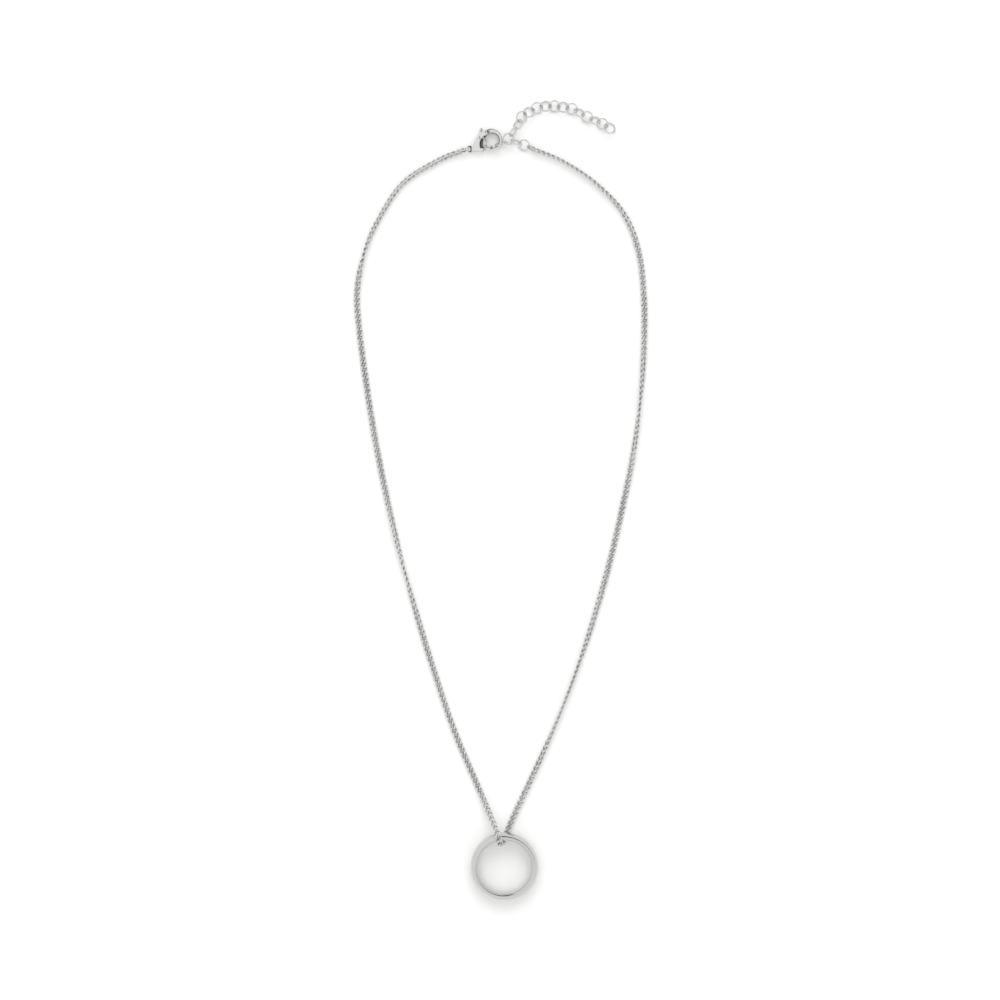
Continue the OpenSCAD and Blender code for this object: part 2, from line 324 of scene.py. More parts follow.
# %% Routes
# Columns: x, y, lift above where the chain would lie, roll about its length, lean of its upper side.
LEFT_ROUTE = np.array([
    [-11.6, 116.6, 0.8, 60, 0], [-14, 115.7, 0.2, 55, 0], [-20, 113.3, 0, 50, 0],
    [-32, 105.8, 0, 55, 0], [-40, 94.2, 0, 58, 0], [-45, 83, 0, 85, 0],
    [-47.6, 70, 0, 175, 0], [-46.9, 57, 0, 180, 0], [-44.8, 40.5, 0, 180, 0],
    [-42.2, 24, 0, 200, 0], [-39, 7, 0, 190, 0], [-35, -11, 0, 222, 0],
    [-31.7, -24, 0, 270, 0], [-26.5, -42.5, 0, 340, 0], [-21, -60, 0, 345, 0],
    [-15, -77.5, 0, 350, 0], [-8, -94, 0, 355, 0], [-4.5, -102, 1.3, 360, 0],
    [-1.8, -108, 4.9, 360, 0], [-0.9, -110.4, 6.5, 360, 0], [-0.4, -112, 6.9, 360, 10],
    [0, -113.5, 6.3, 360, 50], [0.2, -114, 5.2, 360, 80], [0.4, -114.1, 3.5, 360, 90],
])
RIGHT_ROUTE = np.array([
    [0.6, -114.1, 3.2, 0, 90], [0.9, -113.9, 1.6, 0, 105], [1.4, -113.1, 0.35, 0, 150],
    [1.8, -111.8, 0, 0, 180], [3.4, -108, 0, 5, 180], [7, -100, 0, 25, 180],
    [12.6, -88, 0, 50, 180], [19.6, -72, 0, 88, 180], [25.4, -57, 0, 97, 180],
    [30.5, -42, 0, 138, 180], [34.9, -27, 0, 160, 180], [38.3, -13.5, 0, 180, 180],
    [41.3, 0, 0, 190, 180], [44, 13.5, 0, 215, 180], [46, 27, 0, 255, 180],
    [47.4, 40.5, 0, 305, 180], [48.1, 55, 0, 350, 180], [47.9, 69, 0, 360, 180],
    [46.1, 83, 0, 375, 180], [41.3, 95.2, 0, 415, 180], [32, 105.5, 0, 450, 180],
    [21, 112.8, 0, 450, 180], [10.3, 117.2, 0.25, 430, 180],
])
CHAIN_WIDTH, CHAIN_THICKNESS, COURSE_STEPS = 2.3, 1.3, 40


def smooth(rows, steps):
    """Points on a Catmull-Rom curve through the rows: each span blends the two rows at its ends
    with the two beyond them, by cubic weights of how far along the span a point is."""
    padded = np.vstack([2 * rows[0] - rows[1], rows, 2 * rows[-1] - rows[-2]])
    a, b, c, d = [padded[k:len(padded) - 3 + k, None] for k in range(4)]
    t = (np.arange(steps) / steps)[None, :, None]
    curve = 0.5 * (2 * b + (c - a) * t + (2 * a - 5 * b + 4 * c - d) * t**2
                   + (3 * b - a - 3 * c + d) * t**3)
    return np.vstack([curve.reshape(-1, rows.shape[1]), rows[-1:]])


def chain_course(route):
    """Distance along the chain, its middle, its roll and its lean, at so many steps from each row to
    the next. The middle is as high as an oval of the chain's size lies at that roll, plus the lift."""
    rows = smooth(route, COURSE_STEPS)
    roll, lean = np.radians(rows[:, 3]), np.radians(rows[:, 4])
    rest = np.hypot(CHAIN_WIDTH / 2 * np.sin(roll), CHAIN_THICKNESS / 2 * np.cos(roll))
    middle = np.column_stack([rows[:, :2], np.maximum(rows[:, 2], 0) + rest]) - LAYOUT_MIDDLE
    walked = np.cumsum(np.linalg.norm(np.diff(middle, axis=0), axis=1))
    return np.concatenate([[0], walked]), middle, roll, lean


# The left side's last row is all but the right side's first, so it is left out. A whole turn is
# taken off the left side's roll, so that the two sides run on.
left_unwound = LEFT_ROUTE[:-1] - np.array([0, 0, 0, 360, 0])
course = chain_course(np.vstack([left_unwound, RIGHT_ROUTE]))
print("chain is", round(float(course[0][-1])), "mm long from end to end")

# %% [markdown]
# ## One curb link
#
# A curb link starts as an oval loop of round wire. It is then twisted, so that each end turns aside
# and the next link can pass through while both lie flat. Last, the chain is rolled flat, which
# presses the crests of the wire. The same three steps make the shape here: an oval, a twist that
# grows with the distance from the middle, and a limit on how far the wire stands up.

# %% Curb link
LINK_LENGTH, LINK_WIRE, LINK_TWIST, LINK_PITCH = 3.15, 0.62, 54, 1.8
LINK_STEPS, WIRE_SIDES, LINK_CROWDING, LINK_SQUARENESS = 12, 6, 0.85, 2.5
# Tarnish and painted shade inside the link and on its flanks, the part of the first that polish
# takes off the crests, and the shares of the link's height where a crest starts and is full.
INNER_SHADE_AND_TARNISH, FLANK_SHADE_AND_TARNISH, CREST_POLISH, CREST = 0.6, 0.45, 0.4, (0.45, 0.9)


def grown(value, start, full):
    """From 0 at the start to 1 where the value is full: (value - start) / (full - start), clipped."""
    return np.clip((value - start) / (full - start), 0, 1)


def squarish(angle, squareness):
    """Points of the curve |x|^n + |y|^n = 1, where n is the squareness: a circle at 2, and nearer to
    a square above it. x and y are the cosine and the sine, each to the power 2 / n with its sign."""
    parts = np.cos(angle), np.sin(angle)
    return [np.sign(part) * np.abs(part) ** (2 / squareness) for part in parts]


def unit(vectors):
    """Each vector divided by its length."""
    return vectors / np.linalg.norm(vectors, axis=-1, keepdims=True)


def twisted_oval(along):
    """Middle of the wire at angles round the link: a squarish oval, where a point at distance x
    from the middle is turned about the link's length by the twist times x over the half length."""
    half_length, half_width = (LINK_LENGTH - LINK_WIRE) / 2, (CHAIN_WIDTH - LINK_WIRE) / 2
    x, y = squarish(along, LINK_SQUARENESS)
    x, y = half_length * x, half_width * y
    twist = np.radians(LINK_TWIST) * x / half_length
    return points_of(x, y * np.cos(twist), y * np.sin(twist))


def curb_link(nudge=0.02):
    """Points of one link: at each step round the oval, a small circle of wire, square to it. The
    steps are closer at the tight ends, so the wire turns about as much at each of them. With them
    comes a share of tarnish and painted shade: least on the pressed crests, most on the flanks and
    where the wire faces the link's hole, between the links."""
    even = 2 * np.pi * (np.arange(LINK_STEPS) + 0.5) / LINK_STEPS
    along = np.arctan2(LINK_CROWDING * np.sin(even), np.cos(even))
    middle = twisted_oval(along)
    ahead = unit(twisted_oval(along + nudge) - twisted_oval(along - nudge))
    side = unit(middle - ahead * np.sum(middle * ahead, -1, keepdims=True))
    upper = np.cross(side, ahead)
    round_wire = circle(WIRE_SIDES)
    outwards = (np.cos(round_wire)[:, None] * side[:, None]
                + np.sin(round_wire)[:, None] * upper[:, None])
    points = middle[:, None] + LINK_WIRE / 2 * outwards
    points[..., 2] = np.clip(points[..., 2], -CHAIN_THICKNESS / 2, CHAIN_THICKNESS / 2)
    inward = 0.5 - 0.5 * np.cos(round_wire)
    crest = grown(np.abs(points[..., 2]) / (CHAIN_THICKNESS / 2), *CREST)
    return points, INNER_SHADE_AND_TARNISH * inward * (1 - CREST_POLISH * crest) + FLANK_SHADE_AND_TARNISH * (1 - crest)


link_points, link_tarnish_and_shade = curb_link()
link_faces = grid_faces(LINK_STEPS, WIRE_SIDES)
link_size = np.ptp(link_points, axis=(0, 1))
print("one link is", np.round(link_size, 2).tolist(), "mm and has", len(link_faces), "faces")

# %% [markdown]
# ## Laying the links along the route
#
# Links are hard, so the chain isn't bent like a hose: each link keeps its shape and is put where its
# middle falls on the route, pointing from one neighbour to the next. Its flat side follows the roll.
# All links of a side are worked out at once, as one array.

# %% Chain links
# How far before the route's start the first link's middle is, and how far past its end the last can be.
CHAIN_OVERHANG = (0.2, 0.6)


def link_frames(course, places):
    """Middle and three directions of each link: along the chord between the points half a pitch
    before and after it, and across it, turned by the roll there. The middle is halfway between the
    route and the chord, because a hard link cuts a bend short."""
    distance, middle, roll, lean = course
    at = lambda values, s: np.interp(s, distance, values)
    spot = lambda s: np.stack([at(middle[:, k], s) for k in range(3)], -1)
    before, after = spot(places - LINK_PITCH / 2), spot(places + LINK_PITCH / 2)
    along = unit(after - before)
    tilt, turn = at(lean, places), at(roll, places)[:, None]
    upper = points_of(0.0, -np.sin(tilt), np.cos(tilt))
    across = unit(np.cross(along, upper))
    upper = np.cross(across, along)
    wide = np.cos(turn) * across + np.sin(turn) * upper
    thick = np.cross(along, wide)
    return 0.5 * spot(places) + 0.25 * (after + before), np.stack([along, wide, thick], 1)


def laid_links(name, places):
    """One mesh of many links: each link's points times its three directions, plus its middle. A link
    that would dip into the table is lifted onto it."""
    centre, directions = link_frames(course, places)
    points = np.einsum("rcd,ndk->nrck", link_points, directions) + centre[:, None, None]
    lowest = points[..., 2].min(axis=(1, 2))
    points[..., 2] += np.maximum(0, -lowest)[:, None, None]
    number = np.arange(len(places))
    faces = (link_faces + LINK_STEPS * WIRE_SIDES * number[:, None, None]).reshape(-1, 4)
    uv = np.tile(closed_uv(LINK_STEPS, WIRE_SIDES), (len(places), 1, 1))
    uv[..., 0] += np.repeat(number, len(link_faces))[:, None]
    piece = mesh_from(name, points.reshape(-1, 3), faces, uv)
    # The share holds tarnish and painted shade, darker inside each link and on its flanks.
    give_share(piece, "tarnish", np.tile(link_tarnish_and_shade.ravel(), len(places)))
    return piece


link_places = np.arange(-CHAIN_OVERHANG[0], course[0][-1] + CHAIN_OVERHANG[1], LINK_PITCH)
ring_passage = course[0][COURSE_STEPS * len(left_unwound)]
left_places = link_places[link_places < ring_passage]
right_places = link_places[link_places >= ring_passage]
chain_links_left = laid_links("chain_links_left", left_places)
chain_links_right = laid_links("chain_links_right", right_places)
print(len(left_places), "links on the left and", len(right_places), "on the right")

# %% [markdown]
# ## Round links
#
# The tail and the links beside the clasp are rings of plain drawn wire, each closed by a solder
# seam. A torus is a circle carried round a circle. The seam is a shallow groove across the wire
# with a slight swell on both sides, so it catches the light without breaking the ring. Inside both
# ends of the link, where the next link hangs, shade is painted into the wire's colour.

# %% Round links
LINK_D, HOOK_LINK_D, ROUND_WIRE = 4.2, 4.4, 0.5
# Rows: x, y, heading, roll about the heading, lift, angle of the seam.
ROUND_LINKS = {
    "hook_link": (0.4, 118.55, 14, -72, 0, 250),
    "hub_link": (2.85, 120.1, 50, 20, 1.1, 130),
    "end_link_1": (5.4, 119, -20, -62, 0, 95),
    "end_link_2": (8, 118.1, -22, 30, 0, 80),
}
# The same for the tail's links, from the clasp outwards.
TAIL_LINKS = [
    (4.4, 122.6, 55, 74, 0, 85),
    (6, 124.9, 58, -50, 0, 275),
    (7.2, 127.5, 58, 32, 0.1, 70),
    (9.7, 129.1, 32, -26, 0, 100),
    (12.3, 130.5, 18, 26, 0, 265),
    (15.2, 131.1, 0, -24, 0, 80),
    (18.1, 131.1, -3, 22, 0, 280),
    (21, 130.8, -6, -22, 0, 95),
    (23.9, 130.2, -20, 28, 0, 260),
    (26.4, 128.9, -30, -44, 0, 90),
    (29, 127.5, -28, 28, 0.2, 285),
    (31.6, 126.3, -20, -44, 0, 75),
    (34.1, 125.2, -28, 32, 0.1, 270),
    (36.5, 123.8, -38, -24, 0, 20),
]
for number, row in enumerate(TAIL_LINKS, 1):
    ROUND_LINKS[f"tail_link_{number}"] = row
# The swell and the dip at the seam, each as a share of the wire's radius and a reach in degrees.
SEAM_SWELL, SEAM_DIP = (0.05, 14), (0.14, 3)
# The higher this power, the closer the painted shade keeps to the two ends of a link.
CROSSING_SHADE_POWER = 12


def wire_ring(outer, wire, seam, steps=72, sides=14):
    """Points of a wire ring that lies flat round the origin. At angle a the wire's radius is half
    its gauge, plus a broad swell at the seam, less a narrow dip: both are bell curves of the angle
    off the seam. With them comes the share of painted shade where the next link hangs: a power of
    a's cosine, times 1 inside the ring and 0 outside it."""
    a = (circle(steps) + np.radians(seam))[:, None]
    b = circle(sides)
    off = np.minimum(np.arange(steps), steps - np.arange(steps))[:, None] * np.degrees(2 * np.pi / steps)
    swell, dip = [size * np.exp(-(off / reach) ** 2) for size, reach in (SEAM_SWELL, SEAM_DIP)]
    gauge = wire / 2 * (1 + swell - dip)
    radius = (outer - wire) / 2 + gauge * np.cos(b)
    points = points_of(radius * np.cos(a), radius * np.sin(a), gauge * np.sin(b))
    return points, np.cos(a) ** CROSSING_SHADE_POWER * (0.5 - 0.5 * np.cos(b))


def turned(degrees, axis):
    """The 3 by 3 matrix that turns a column vector by an angle about the X, Y or Z axis."""
    c, s = np.cos(np.radians(degrees)), np.sin(np.radians(degrees))
    first, second = {"x": (1, 2), "y": (2, 0), "z": (0, 1)}[axis]
    matrix = np.eye(3)
    matrix[first, first] = matrix[second, second] = c
    matrix[first, second], matrix[second, first] = -s, s
    return matrix


def laid_ring(node, x, y, heading, roll, lift, seam):
    """A wire ring leaned by its roll about its heading, as high as that lean makes it stand."""
    outer = HOOK_LINK_D if node == "hook_link" else LINK_D
    height = (outer - ROUND_WIRE) / 2 * abs(np.sin(np.radians(roll))) + ROUND_WIRE / 2 + lift
    points, unpolished = wire_ring(outer, ROUND_WIRE, seam)
    turn = turned(heading, "z") @ turned(roll, "x")
    piece = closed_piece(f"wire_{node}", points @ turn.T + np.array([x, y, height]) - LAYOUT_MIDDLE)
    # Painted shade inside both ends of the link, where the next link hangs.
    give_share(piece, "unpolished", unpolished)
    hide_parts(node)
    return piece


round_links = [laid_ring(node, *row) for node, row in ROUND_LINKS.items()]
print(len(round_links), "round links, each", len(round_links[0].data.polygons), "faces")

# %% [markdown]
# ## The ring
#
# The pendant is a finger ring. Its wall isn't a sharp rectangle: it has been turned and tumbled, so
# the section is a rounded, nearly square oval, and a superellipse has just that shape. The section
# is walked in equal steps, because equal angles would leave its flat sides with too few points.

# %% Ring
RING_INNER, RING_WALL, RING_WIDTH, RING_SQUARENESS, RING_LEAN = 17.4, 2.5, 5.0, 3.0, 4.8
RING_MIDDLE = np.array([1.5, -121.6])
RING_STEPS, SECTION_STEPS = 240, 72
# Shares for the finish: where each starts and where it is full, from -1 at the hole to 1 outside.
# They paint shade near the hole and on the flanks, and light at the hole's edge.
RING_SHARES = {"near_hole": (0.25, -0.05), "hole_edge": (-0.35, -0.65), "on_flank": (0.66, 0.86)}


def ring_section(fine_steps=4001):
    """Points of the wall's section at equal steps along it: |x / a|^n + |y / b|^n = 1. The curve is
    drawn in many fine steps first, and the equal ones are read off along it."""
    x, y = squarish(np.linspace(0, 2 * np.pi, fine_steps), RING_SQUARENESS)
    x, y = RING_WALL / 2 * x, RING_WIDTH / 2 * y
    walked = np.concatenate([[0], np.cumsum(np.hypot(np.diff(x), np.diff(y)))])
    steps = np.linspace(0, walked[-1], SECTION_STEPS, endpoint=False)
    return np.interp(steps, walked, x), np.interp(steps, walked, y)


def band(x, y):
    """Points of the band: the section carried round the ring's axis, leaned on its far edge, and
    lifted until its near edge touches the table."""
    a = circle(RING_STEPS)[:, None]
    radius = (RING_INNER + RING_WALL) / 2 + x
    points = points_of(radius * np.cos(a), radius * np.sin(a), y) @ turned(RING_LEAN, "x").T
    points[..., :2] += RING_MIDDLE - LAYOUT_MIDDLE[:2]
    points[..., 2] -= points[..., 2].min()
    return points


section_x, section_y = ring_section()
band_points = band(section_x, section_y)
silver_band = closed_piece("silver_band", band_points)
# These shares paint shade near the hole and on the flanks, and light at the hole's edge, into the band's
# colour.
for name, limits in RING_SHARES.items():
    share = grown(section_x / (RING_WALL / 2), *limits)
    give_share(silver_band, name, np.tile(share, RING_STEPS))
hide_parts("ring_band")
print("band stands", round(float(band_points[..., 2].max()), 2), "mm high")

# %% [markdown]
# ## Cast metal from distances
#
# A claw clasp is cast, then tumbled, so its hook, cheeks and tail flow into each other and no edge
# is sharp. Separate boxes can't do that, but a distance field can: a function says how far any point
# of space is from the metal's surface, negative inside. Two shapes join by taking the smaller
# distance, softly, which leaves the fillet that a casting has. Cutting takes the larger.

# %% Distance fields
def edge_distances(points, start, edge):
    """Distance in the plane from each point to the nearest spot of each edge, and that spot's share
    of the way along it."""
    away = points[..., None, :2] - start
    share = np.clip(np.sum(away * edge, -1) / np.sum(edge * edge, -1), 0, 1)
    return np.linalg.norm(away - share[..., None] * edge, axis=-1), share


def outline_distance(points, corners):
    """Distance in the plane to a closed outline: the nearest of its edges, negative inside, where a
    line from the point crosses the outline an odd number of times."""
    start = np.asarray(corners, float)
    edge = np.roll(start, -1, axis=0) - start
    near = edge_distances(points, start, edge)[0].min(-1)
    y0, y1 = start[:, 1], np.roll(start[:, 1], -1)
    y = points[..., None, 1]
    crosses = (y0 <= y) != (y1 <= y)
    rise = np.where(edge[:, 1] == 0, 1, edge[:, 1])
    reach = start[:, 0] + (y - y0) / rise * edge[:, 0]
    inside = np.sum(crosses & (points[..., None, 0] < reach), -1) % 2 == 1
    return np.where(inside, -near, near)


def plate(flat, z, low, high, rounding):
    """A flat shape given a thickness: the distance to its outline and to its two faces, combined
    as on a round corner of the given radius."""
    side = flat + rounding
    face = np.abs(z - (low + high) / 2) - (high - low) / 2 + rounding
    outside = np.hypot(np.maximum(side, 0), np.maximum(face, 0))
    return outside + np.minimum(np.maximum(side, face), 0) - rounding


def joined(first, second, fillet):
    """The smaller of two distances, rounded off where they are nearly equal."""
    share = np.clip(0.5 + 0.5 * (second - first) / fillet, 0, 1)
    return second + (first - second) * share - fillet * share * (1 - share)


def cut(metal, tool, edge):
    """Metal less a tool's shape, with its new edge rounded."""
    return -joined(-metal, tool, edge)


square_middle, square = np.array([0.5, 0.5, 0]), [[0, 0], [1, 0], [1, 1], [0, 1]]
print("a unit square's middle is at distance", outline_distance(square_middle, square))

# %% [markdown]
# ## From distances to a surface
#
# The field is sampled on a fine grid. Every small cube of the grid that the surface passes through
# gets one point, at the mean of where the surface cuts the cube's edges, and every grid edge that it
# cuts gets one face between the four cubes around it. A last step moves each point along the
# field's slope until its distance is nearly nothing, which makes the surface smooth.

# %% Surface of a distance field
# The last step's passes, the part of the way that each takes, and the least squared slope that it
# divides by, so that no point is thrown far.
SETTLING_PASSES, SETTLING_PART, LEAST_SLOPE_SQUARE = 4, 0.8, 0.25


def slope(field, points, step=0.01):
    """Direction in which the distance grows fastest, from small steps each way."""
    moves = step * np.eye(3)
    return np.stack([field(points + m) - field(points - m) for m in moves], -1) / (2 * step)


def settled(field, points):
    """Points moved onto the surface: each pass takes off the distance over the slope's length."""
    for _ in range(SETTLING_PASSES):
        way = slope(field, points)
        square = np.maximum(np.sum(way * way, -1), LEAST_SLOPE_SQUARE)
        points = points - SETTLING_PART * (field(points) / square)[:, None] * way
    return points


def picked(slices):
    """An index into a 3-D grid: the given slice on some axes, and all of the others."""
    return tuple(slices.get(axis, slice(None)) for axis in range(3))


def metal_surface(field, low, high, spacing):
    """Points and quads of the surface where the field is zero, inside a box."""
    axes = [np.arange(a, b + spacing, spacing) for a, b in zip(low, high)]
    grid = np.stack(np.meshgrid(*axes, indexing="ij"), -1)
    value = field(grid)
    cubes = np.array(value.shape) - 1
    number = np.arange(cubes.prod()).reshape(cubes)
    total, count = np.zeros((*cubes, 3)), np.zeros(cubes)
    quads = []
    for axis, (u, v) in enumerate(((1, 2), (0, 2), (0, 1))):
        # Where the surface cuts the grid edges along this axis.
        first, second = picked({axis: slice(None, -1)}), picked({axis: slice(1, None)})
        a, b = value[first], value[second]
        crossed = (a < 0) != (b < 0)
        share = np.where(crossed, a / np.where(crossed, a - b, 1), 0)
        spot = grid[first] + share[..., None] * spacing * np.eye(3)[axis]
        # Each cut counts in all four cubes around its edge.
        for i, j in np.ndindex(2, 2):
            around = picked({u: slice(i, cubes[u] + i), v: slice(j, cubes[v] + j)})
            total += np.where(crossed[around][..., None], spot[around], 0)
            count += crossed[around]
        # A face joins the four cubes, in the order that makes it look out of the metal.
        inner = picked({u: slice(1, -1), v: slice(1, -1)})
        where = np.argwhere(crossed[inner])
        corners = []
        for i, j in ((0, 0), (1, 0), (1, 1), (0, 1)):
            cell = where.copy()
            cell[:, u] += i
            cell[:, v] += j
            corners.append(number[tuple(cell.T)])
        quad = np.stack(corners, 1)
        flip = (b < 0)[inner][tuple(where.T)] ^ (axis == 1)
        quad[flip] = quad[flip][:, ::-1]
        quads.append(quad)
    used, quads = np.unique(np.vstack(quads), return_inverse=True)
    points = total.reshape(-1, 3)[used] / count.reshape(-1, 1)[used]
    return settled(field, points), quads.reshape(-1, 4)


ball = lambda p: np.linalg.norm(p, axis=-1) - 1
ball_points, ball_quads = metal_surface(ball, (-1.2,) * 3, (1.2,) * 3, 0.2)
ball_radius = np.linalg.norm(ball_points, axis=1).mean()
print("a test ball of radius 1 has", len(ball_quads), "faces and radius", round(float(ball_radius), 3))

# %% [markdown]
# ## The claw
#
# The claw has a flat, three-sided body of two cheeks with a slot between them. From its upper corner
# the hook sweeps round the eye and thins towards its nose. The lever turns in the slot. The front
# cheek is scooped out in a crescent so that the lever's gate can be seen, and the wire ring on the
# tail holds the chain.

# %% Claw
CLAW_PLACE, CLAW_RISE = np.array([-6.75, 120.4, 0.22]), 3.5
CLAW_THICKNESS, SLOT, CLAW_HOLE_RADIUS = 2.0, 1.0, 0.44
# By how much a millimetre the cheeks thin out towards the tail, from which x, and for how far.
CHEEK_TAPER, TAPER_FROM, TAPER_REACH = 0.08, 1.6, 4.5
EYE, EYE_RADIUS, EYE_GAP = np.array([4.1, -0.85]), 2.3, 0.1
CHEEK = [[-2.6, -3.1], [-0.1, 1.95], [1.3, 2.25], [2.1, 2.2], [2.5, 1.2],
         [1.4, -1], [1.4, -3.95], [1.15, -4.25], [-2.6, -4.2]]
WEB = [[-2.6, -3.1], [-1.6, -1.08], [-0.9, -1.35], [-0.1, -2.4], [0.5, -4.25], [-2.6, -4.2]]
# The web stays this far below the cheeks' faces, and its edges are rounded as much.
WEB_INSET = 0.1
POCKET, POCKET_RADIUS, POCKET_FLOOR_RADIUS, POCKET_SILL = np.array([3.35, -2.05]), 3.25, 2.35, -3.4
# Rounding of the cheeks' outer edges, of the edge round the eye, and of the pocket's edge.
CHEEK_EDGE, EYE_EDGE, POCKET_EDGE = 0.16, 0.2, 0.12
# Fillets between the two cheeks, to the web, to the hook and to the tail's ring.
CHEEK_FILLET, WEB_FILLET, HOOK_FILLET, TAIL_FILLET = 0.05, 0.08, 0.4, 0.22
TAIL_RING_PLACE, TAIL_RING_TILT = np.array([-3.45, -3.6, 1.1]), 45
TAIL_RING_D, TAIL_RING_WIRE = 2.6, 0.6
# Columns: angle round the eye, width of the hook there, its height, how square its outer side is,
# how much rounder its inner side is, and by what share it slopes down into the eye.
HOOK_TABLE = np.array([
    [-89, 0.85, 1.1, 2.6, 0.4, 0.1],
    [-60, 1.05, 1.35, 2.8, 0.7, 0.13],
    [-20, 1.25, 1.6, 3.2, 1, 0.16],
    [20, 1.4, 1.8, 3.8, 1.6, 0.17],
    [60, 1.6, 1.96, 4.6, 2.4, 0.16],
    [92, 1.75, 2.0, 5.2, 2.8, 0.12],
    [126, 1.8, 2.0, 5.6, 2, 0.04],
])
HOOK_ROWS = smooth(HOOK_TABLE, 8)
# Points behind the hook at angles below this one count from its root, not from its nose.
BEHIND_HOOK = -145


def hook_distance(p):
    """The hook in polar terms: the angle round the eye gives its width and height there, and the
    distance is that to a rounded section of that size. Past the nose the nearest section counts."""
    from_eye = p[..., :2] - EYE
    angle = np.degrees(np.arctan2(from_eye[..., 1], from_eye[..., 0]))
    angle = np.where(angle < BEHIND_HOOK, angle + 360, angle)
    held = np.clip(angle, HOOK_TABLE[0, 0], HOOK_TABLE[-1, 0])
    width, tall, square, softer, slant = [np.interp(held, HOOK_ROWS[:, 0], column)
                                          for column in HOOK_ROWS[:, 1:].T]
    middle = EYE_RADIUS + width / 2
    direction = np.stack([np.cos(np.radians(held)), np.sin(np.radians(held))], -1)
    off = from_eye - middle[..., None] * direction
    radial = np.sum(off * direction, -1)
    beyond = off[..., 0] * direction[..., 1] - off[..., 1] * direction[..., 0]
    across = np.hypot(radial, beyond) / (width / 2)
    inward = (1 - np.clip(radial / (width / 2), -1, 1)) / 2
    square = square - softer * inward
    up = np.abs(p[..., 2] - CLAW_THICKNESS / 2) / (tall / 2 * (1 - 2 * slant * inward))
    return ((across ** square + up ** square) ** (1 / square) - 1) * np.minimum(width, tall) / 2


def tail_ring_distance(p):
    """The small ring on the tail: the distance to a circle, less half the gauge of the wire."""
    x, y, z = np.moveaxis((p - TAIL_RING_PLACE) @ turned(TAIL_RING_TILT, "y"), -1, 0)
    return np.hypot(np.hypot(x, y) - (TAIL_RING_D - TAIL_RING_WIRE) / 2, z) - TAIL_RING_WIRE / 2


def claw_distance(p):
    """The whole claw: two cheeks cut away round the eye, the web that joins them, the hook and the
    tail's ring, joined softly, with the rivet's hole cut through."""
    x, y = p[..., 0], p[..., 1]
    # Where the cheeks thin out, heights are stretched before they are compared.
    stretch = 1 + CHEEK_TAPER * np.clip(TAPER_FROM - x, 0, TAPER_REACH)
    z = CLAW_THICKNESS / 2 + (p[..., 2] - CLAW_THICKNESS / 2) * stretch
    wall = (CLAW_THICKNESS - SLOT) / 2
    eye = np.hypot(x - EYE[0], y - EYE[1]) - EYE_RADIUS - EYE_GAP
    outline = cut(outline_distance(p, CHEEK), eye, EYE_EDGE)
    scoop = np.hypot(x - POCKET[0], y - POCKET[1])
    window = np.maximum(scoop - POCKET_RADIUS, POCKET_SILL - y)
    front = plate(outline, z, CLAW_THICKNESS - wall, CLAW_THICKNESS, CHEEK_EDGE)
    front = cut(front, window, POCKET_EDGE)
    back = cut(plate(outline, z, 0, wall, CHEEK_EDGE), scoop - POCKET_FLOOR_RADIUS, POCKET_EDGE)
    web = plate(outline_distance(p, WEB), z, WEB_INSET, CLAW_THICKNESS - WEB_INSET, WEB_INSET)
    metal = joined(joined(front, back, CHEEK_FILLET), web, WEB_FILLET)
    metal = joined(metal, hook_distance(p), HOOK_FILLET)
    metal = joined(metal, tail_ring_distance(p), TAIL_FILLET)
    return np.maximum(metal, CLAW_HOLE_RADIUS - np.hypot(x, y))


def placed_claw(points):
    """From the claw's own coordinates to the model's: raised towards the hook, then put in place."""
    return points @ turned(-CLAW_RISE, "y").T + CLAW_PLACE - LAYOUT_MIDDLE


claw_points, claw_quads = metal_surface(claw_distance, (-5.2, -5.0, -0.25), (8.2, 3.6, 2.85), 0.065)
cast_claw = mesh_from("cast_claw", placed_claw(claw_points), claw_quads)
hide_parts("clasp_body")
print("claw has", len(claw_quads), "faces")

# %% [markdown]
# ## The lever
#
# The lever is a flat stamping with tumbled edges: a boss on the rivet, an arm that runs down the
# slot, a gate that closes the claw's mouth, and a tab for the thumb. It follows two short paths with
# a width at each point, so its outline is the nearest distance to a strip of changing width.

# %% Lever
LEVER_THICKNESS, GATE_THICKNESS, BOSS_RADIUS, LEVER_HOLE_RADIUS = 0.8, 1.6, 0.7, 0.45
# Rounding of the stamping's and the gate's edges, and fillets to the boss and to the gate.
LEVER_EDGE, GATE_EDGE, BOSS_FILLET, GATE_FILLET = 0.14, 0.2, 0.1, 0.12
# Columns: x, y and half the lever's width at that point.
GATE_PATH = np.array([
    [0.2, 0.1, 0.4], [1.15, 0.28, 0.41], [1.68, -0.5, 0.46], [1.72, -2.1, 0.55],
    [2.2, -3.1, 0.42], [3, -3.4, 0.38], [3.7, -2.95, 0.3], [4.15, -2.7, 0.24],
])
GATE_BLOCK_PATH = np.array([[2.15, -3.1, 0.38], [3, -3.4, 0.36], [3.7, -2.95, 0.28], [4.15, -2.7, 0.22]])
THUMB_PATH = np.array([[0, 0, 0.5], [0.25, 1.6, 0.42], [0.5, 2.9, 0.42], [0.55, 3.25, 0.3]])


def strip_distance(p, path):
    """Distance in the plane to a strip: to the nearest of its short spans, less the width there."""
    rows = smooth(path, 4)
    start, edge = rows[:-1], np.diff(rows, axis=0)
    gap, share = edge_distances(p, start[:, :2], edge[:, :2])
    return (gap - (start[:, 2] + share * edge[:, 2])).min(-1)


def slotted_plate(flat, z, thickness, rounding):
    """A flat shape given a thickness, in the middle of the claw's own."""
    middle = CLAW_THICKNESS / 2
    return plate(flat, z, middle - thickness / 2, middle + thickness / 2, rounding)


